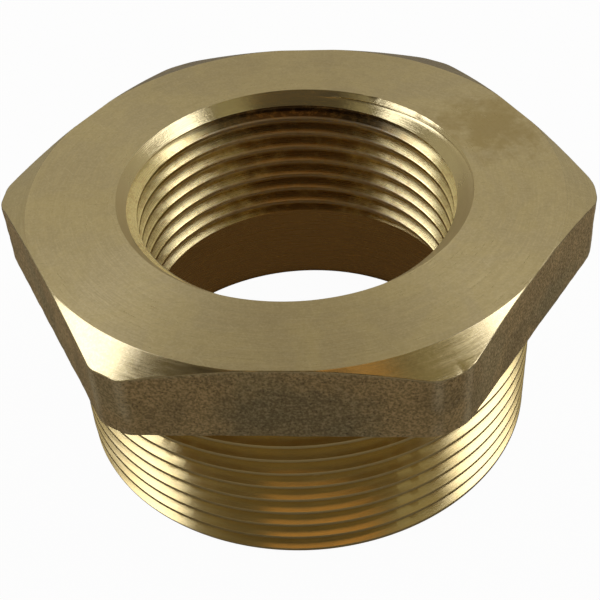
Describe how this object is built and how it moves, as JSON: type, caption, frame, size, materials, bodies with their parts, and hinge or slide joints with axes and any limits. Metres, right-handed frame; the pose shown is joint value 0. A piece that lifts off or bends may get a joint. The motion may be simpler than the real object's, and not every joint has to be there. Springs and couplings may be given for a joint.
{
  "type": "hexagon reducing bush",
  "caption": "Hexagon-headed brass reducing bush: coarse male pipe thread outside, smaller female pipe thread inside, with a plain relief bore under it.",
  "frame": {"origin": "centre of the bottom end face, where the outside thread starts", "axes": "+Z along the bore axis, towards the hexagon head; two flats of the hexagon face -Y and +Y, and two of its corners lie on -X and +X"},
  "size_m": [0.0728, 0.065, 0.0345],
  "materials": {
    "brass": "machined top face, bore and threads; the sides of the hexagon left as cast, dull and grainy"
  },
  "bodies": {
    "root": {"reducing_bush": "brass"}
  },
  "joints": []
}
